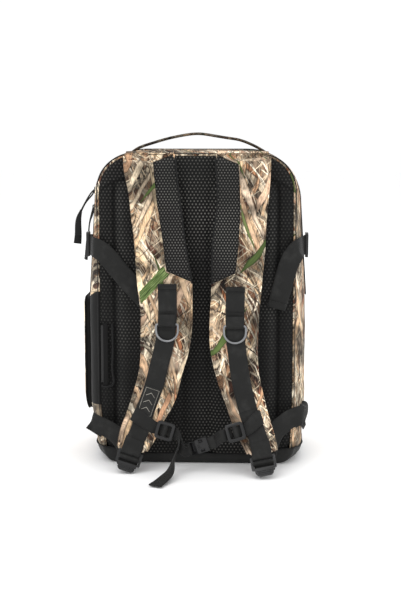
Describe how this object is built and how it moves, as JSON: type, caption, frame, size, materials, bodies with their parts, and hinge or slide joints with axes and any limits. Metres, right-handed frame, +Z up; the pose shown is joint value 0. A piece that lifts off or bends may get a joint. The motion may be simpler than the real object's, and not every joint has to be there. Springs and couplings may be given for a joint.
{
  "type": "tackle backpack",
  "caption": "Camouflage tackle backpack with padded back, shoulder straps, buckled sternum strap, D-rings, haul handle, fold-down lid and zipped pockets.",
  "frame": {"origin": "on the floor plane, under the middle of the base", "axes": "+Z up, -Y out of the padded back panel, +Y out of the lid, -X the side with the zip sliders and the side pocket"},
  "size_m": [0.3647, 0.3435, 0.5099],
  "materials": {
    "camo_fabric": "printed matte polyester, reed camouflage",
    "mesh_fabric": "black hexagonal air mesh over foam",
    "webbing": "black polypropylene webbing, satin",
    "base_fabric": "black coated base fabric",
    "lining": "dark grey woven lining",
    "frame_plastic": "thin polyethylene sheet",
    "zip_coil": "black nylon coil zip",
    "black_plastic": "moulded acetal, satin",
    "dark_steel": "dark nickel-plated wire and zip sliders"
  },
  "bodies": {
    "pack": {"back_panel": "mesh_fabric", "frame_sheet": "frame_plastic", "laptop_sleeve": "lining", "gusset_left": "camo_fabric", "gusset_right": "camo_fabric", "gusset_top": "camo_fabric", "side_wall_left": "camo_fabric", "side_wall_right": "camo_fabric", "base_panel": "base_fabric", "front_wall": "camo_fabric", "zip_track_rear": "zip_coil", "side_pocket": "camo_fabric", "front_slip_pocket": "camo_fabric", "strap_anchor_left": "camo_fabric", "strap_anchor_right": "camo_fabric", "lower_webbing_left": "webbing", "lower_webbing_right": "webbing", "upper_webbing_left": "webbing", "upper_webbing_right": "webbing", "side_lock_left": "black_plastic", "side_lock_right": "black_plastic"},
    "lid": {"lid_front": "camo_fabric", "lid_left": "camo_fabric", "lid_right": "camo_fabric", "lid_top": "camo_fabric", "zip_track_lid": "zip_coil", "lid_pocket": "camo_fabric"},
    "left_strap": {"shoulder_strap_left": "camo_fabric", "strap_webbing_left": "webbing", "ring_loop_left": "webbing", "sternum_keeper_left": "webbing", "sternum_ring_left": "black_plastic", "sternum_webbing_left": "webbing"},
    "right_strap": {"shoulder_strap_right": "camo_fabric", "strap_webbing_right": "webbing", "ring_loop_right": "webbing", "sternum_keeper_right": "webbing", "sternum_ring_right": "black_plastic", "sternum_webbing_right": "webbing", "buckle_female": "black_plastic"},
    "left_d_ring": {"d_ring_left": "dark_steel"},
    "right_d_ring": {"d_ring_right": "dark_steel"},
    "left_ladder_lock": {"ladder_lock_left": "black_plastic"},
    "right_ladder_lock": {"ladder_lock_right": "black_plastic"},
    "handle": {"haul_handle": "camo_fabric"},
    "sternum_male": {"buckle_male": "black_plastic", "sternum_tail": "webbing"},
    "upper_prong": {"buckle_prong_upper": "black_plastic"},
    "lower_prong": {"buckle_prong_lower": "black_plastic"},
    "upper_slider": {"zip_slider_upper": "dark_steel"},
    "lower_slider": {"zip_slider_lower": "dark_steel"},
    "upper_pull": {"zip_pull_upper": "black_plastic"},
    "lower_pull": {"zip_pull_lower": "black_plastic"},
    "pocket_slider": {"side_slider": "dark_steel"},
    "pocket_pull": {"side_pull": "black_plastic"},
    "lid_slider": {"lid_pocket_slider": "dark_steel"},
    "lid_pull": {"lid_pocket_pull": "black_plastic"}
  },
  "joints": [
    {"name": "lid_fold", "type": "hinge", "parent": "pack", "child": "lid", "pos_m": [0, 0.0924, 0.2561], "axis": [-1, 0, 0], "range_deg": [0, 100]},
    {"name": "left_strap_swing", "type": "hinge", "parent": "pack", "child": "left_strap", "pos_m": [0, -0.095, 0.476], "axis": [-1, 0, 0], "range_deg": [0, 12]},
    {"name": "right_strap_swing", "type": "hinge", "parent": "pack", "child": "right_strap", "pos_m": [0, -0.095, 0.476], "axis": [-1, 0, 0], "range_deg": [0, 12]},
    {"name": "left_ring_swing", "type": "hinge", "parent": "left_strap", "child": "left_d_ring", "pos_m": [-0.0418, -0.1309, 0.225], "axis": [-1, 0, 0], "range_deg": [0, 140]},
    {"name": "right_ring_swing", "type": "hinge", "parent": "right_strap", "child": "right_d_ring", "pos_m": [0.06, -0.1307, 0.2225], "axis": [-1, 0, 0], "range_deg": [0, 140]},
    {"name": "left_lock_tilt", "type": "hinge", "parent": "left_strap", "child": "left_ladder_lock", "pos_m": [-0.0952, -0.1444, 0.0336], "axis": [-0.9529, 0.0202, 0.3025], "range_deg": [0, 35]},
    {"name": "right_lock_tilt", "type": "hinge", "parent": "right_strap", "child": "right_ladder_lock", "pos_m": [0.1015, -0.1565, 0.0314], "axis": [-0.979, -0.0203, -0.2029], "range_deg": [0, 35]},
    {"name": "handle_tilt", "type": "hinge", "parent": "pack", "child": "handle", "pos_m": [0.0035, -0.054, 0.4899], "axis": [1, 0, 0], "range_deg": [-30, 30], "stiffness_Nm_per_rad": 0.03},
    {"name": "buckle_release", "type": "slide", "parent": "left_strap", "child": "sternum_male", "axis": [-0.9537, 0, -0.3007], "range_m": [0, 0.018], "deforming": ["sternum_webbing_left"]},
    {"name": "upper_prong_press", "type": "slide", "parent": "sternum_male", "child": "upper_prong", "axis": [0.3007, 0, -0.9537], "range_m": [0, 0.002], "stiffness_N_per_m": 600},
    {"name": "lower_prong_press", "type": "slide", "parent": "sternum_male", "child": "lower_prong", "axis": [-0.3007, 0, 0.9537], "range_m": [0, 0.002], "stiffness_N_per_m": 600},
    {"name": "upper_slider_run", "type": "slide", "parent": "pack", "child": "upper_slider", "axis": [0.2, 0, 0.9798], "range_m": [0, 0.008]},
    {"name": "lower_slider_run", "type": "slide", "parent": "pack", "child": "lower_slider", "axis": [0.0648, 0, 0.9979], "range_m": [-0.118, 0.01]},
    {"name": "upper_pull_swing", "type": "hinge", "parent": "upper_slider", "child": "upper_pull", "pos_m": [-0.1636, -0.0356, 0.42], "axis": [0, 1, 0], "range_deg": [0, 80]},
    {"name": "lower_pull_swing", "type": "hinge", "parent": "lower_slider", "child": "lower_pull", "pos_m": [-0.1652, -0.0294, 0.392], "axis": [0, 1, 0], "range_deg": [0, 80]},
    {"name": "pocket_slider_run", "type": "slide", "parent": "pack", "child": "pocket_slider", "axis": [0, 0, 1], "range_m": [-0.13, 0.008]},
    {"name": "pocket_pull_swing", "type": "hinge", "parent": "pocket_slider", "child": "pocket_pull", "pos_m": [-0.1767, 0.0654, 0.2185], "axis": [1, 0, 0], "range_deg": [0, 90]},
    {"name": "lid_slider_run", "type": "slide", "parent": "lid", "child": "lid_slider", "axis": [1, 0, 0], "range_m": [0, 0.18]},
    {"name": "lid_pull_swing", "type": "hinge", "parent": "lid_slider", "child": "lid_pull", "pos_m": [-0.094, 0.1144, 0.3935], "axis": [1, 0, 0], "range_deg": [0, 90]}
  ],
  "couplings": [
    {"joint": "right_strap_swing", "follows": "left_strap_swing", "ratio": 1},
    {"joint": "lower_prong_press", "follows": "upper_prong_press", "ratio": 1}
  ]
}
